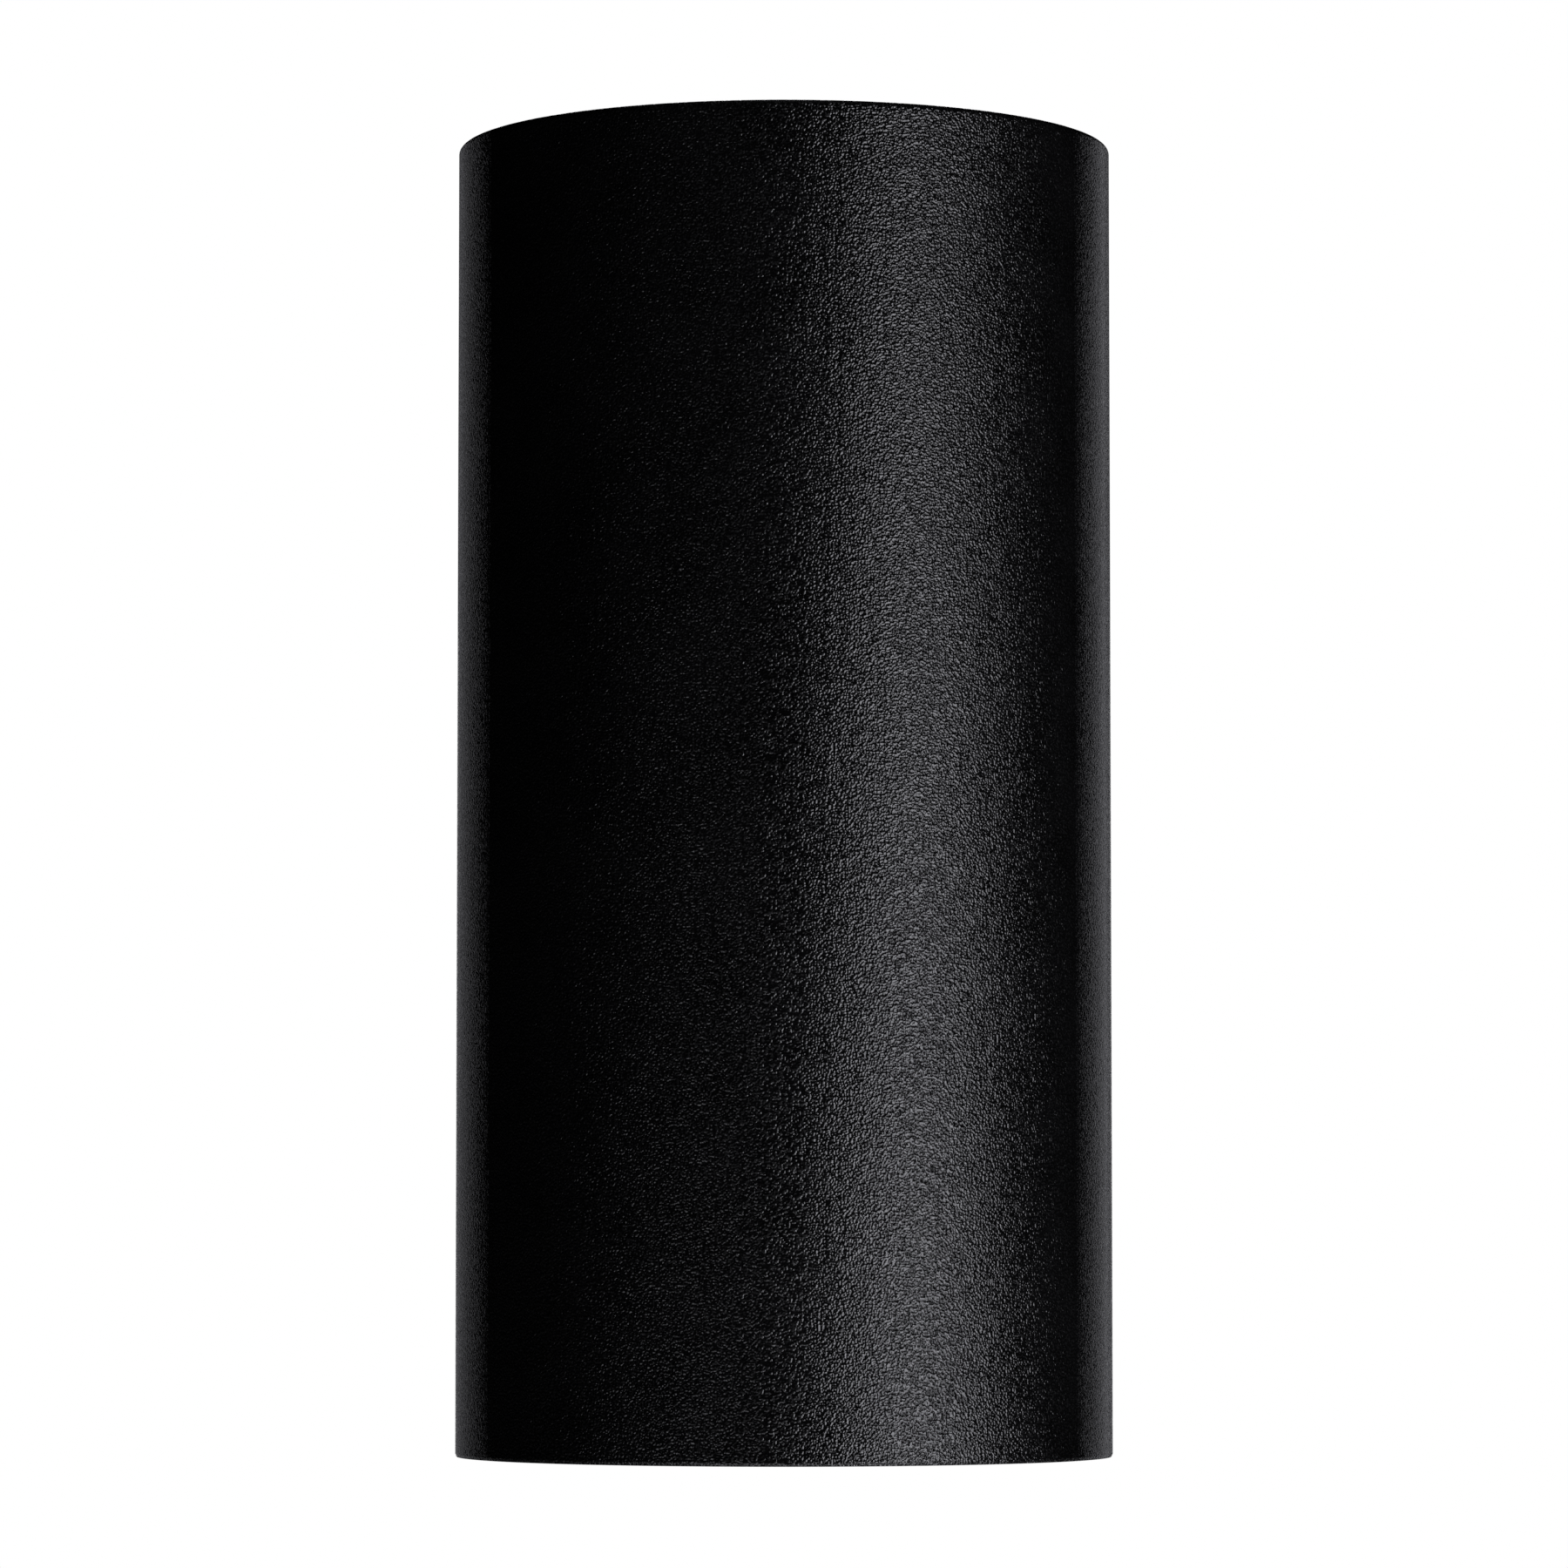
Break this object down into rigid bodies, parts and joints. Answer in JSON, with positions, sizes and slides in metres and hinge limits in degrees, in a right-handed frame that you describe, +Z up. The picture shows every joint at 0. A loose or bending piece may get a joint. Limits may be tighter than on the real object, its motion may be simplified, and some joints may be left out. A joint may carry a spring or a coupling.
{
  "type": "wall spotlight",
  "caption": "Cylindrical wall spotlight: closed-top can with a recessed lamp behind glass and a threaded ring, shining down, on a saddle-shaped wiring box and wall plate.",
  "frame": {"origin": "on the wall, at the rear face of the wall gasket, midway between the two wall screws", "axes": "+Y into the wall, so the front faces -Y; +Z up along the can's axis; +X to the right of someone who faces the wall"},
  "size_m": [0.075, 0.1, 0.15],
  "materials": {
    "black_paint": "fine-textured matt powder coat",
    "black_anodised": "satin black anodised",
    "zinc_steel": "bright zinc-plated sheet",
    "screw_steel": "bright stainless",
    "black_steel": "black oxide, satin",
    "black_rubber": "matt",
    "clear_silicone": "matt, slightly milky",
    "clear_glass": "polished, ground edge",
    "white_ceramic": "unglazed steatite",
    "brass": "satin",
    "tinned_brass": "tin-plated",
    "pale_plastic": "satin",
    "brown_insulation": "silicone insulation",
    "blue_insulation": "silicone insulation",
    "green_insulation": "green and yellow insulation",
    "white_plastic": "satin white",
    "clear_plastic": "clear, polished",
    "white_board": "white solder mask",
    "yellow_phosphor": "matt",
    "green_board": "green circuit board with dark parts",
    "nickel_brass": "nickel-plated, bright"
  },
  "bodies": {
    "housing": {"lamp_housing": "black_paint", "wall_box": "black_paint", "wall_plate": "zinc_steel", "wall_gasket": "black_rubber", "cable_grommet": "black_rubber", "fixing_screws": "black_steel", "saddle_gasket": "black_rubber", "saddle_screws": "screw_steel", "lead_grommet": "black_rubber", "plate_earth_washer": "screw_steel", "plate_earth_screw": "screw_steel", "terminal_block": "pale_plastic", "terminal_clamps": "brass", "terminal_screws": "screw_steel", "terminal_fixings": "screw_steel", "live_lead": "brown_insulation", "neutral_lead": "blue_insulation", "earth_lead": "green_insulation", "earth_tag": "tinned_brass", "earth_screw": "screw_steel", "holder_bracket": "zinc_steel", "bracket_screws": "screw_steel", "lampholder": "white_ceramic", "holder_contacts": "brass", "holder_cover": "white_ceramic", "holder_screws": "screw_steel", "holder_nuts": "screw_steel", "lens_seat": "black_anodised"},
    "lamp": {"lamp_shell": "white_plastic", "lamp_optic": "clear_plastic", "led_board": "white_board", "led_chips": "yellow_phosphor", "driver_board": "green_board", "lamp_cap": "white_plastic", "lamp_pins": "nickel_brass"},
    "front_glass": {"front_glass": "clear_glass", "glass_gasket": "clear_silicone"},
    "front_ring": {"front_ring": "black_anodised"}
  },
  "joints": [
    {"name": "lamp_twist", "type": "hinge", "parent": "housing", "child": "lamp", "pos_m": [0, -0.0625, 0], "axis": [0, 0, 1], "range_deg": [-30, 0]},
    {"name": "glass_drop", "type": "slide", "parent": "housing", "child": "front_glass", "axis": [0, 0, -1], "range_m": [0, 0.006]},
    {"name": "ring_turn", "type": "hinge", "parent": "front_glass", "child": "front_ring", "pos_m": [0, -0.0625, 0], "axis": [0, 0, -1], "range_deg": [0, 1440]}
  ],
  "couplings": [
    {"joint": "glass_drop", "follows": "ring_turn", "m_per_rad": 0.00023873}
  ]
}
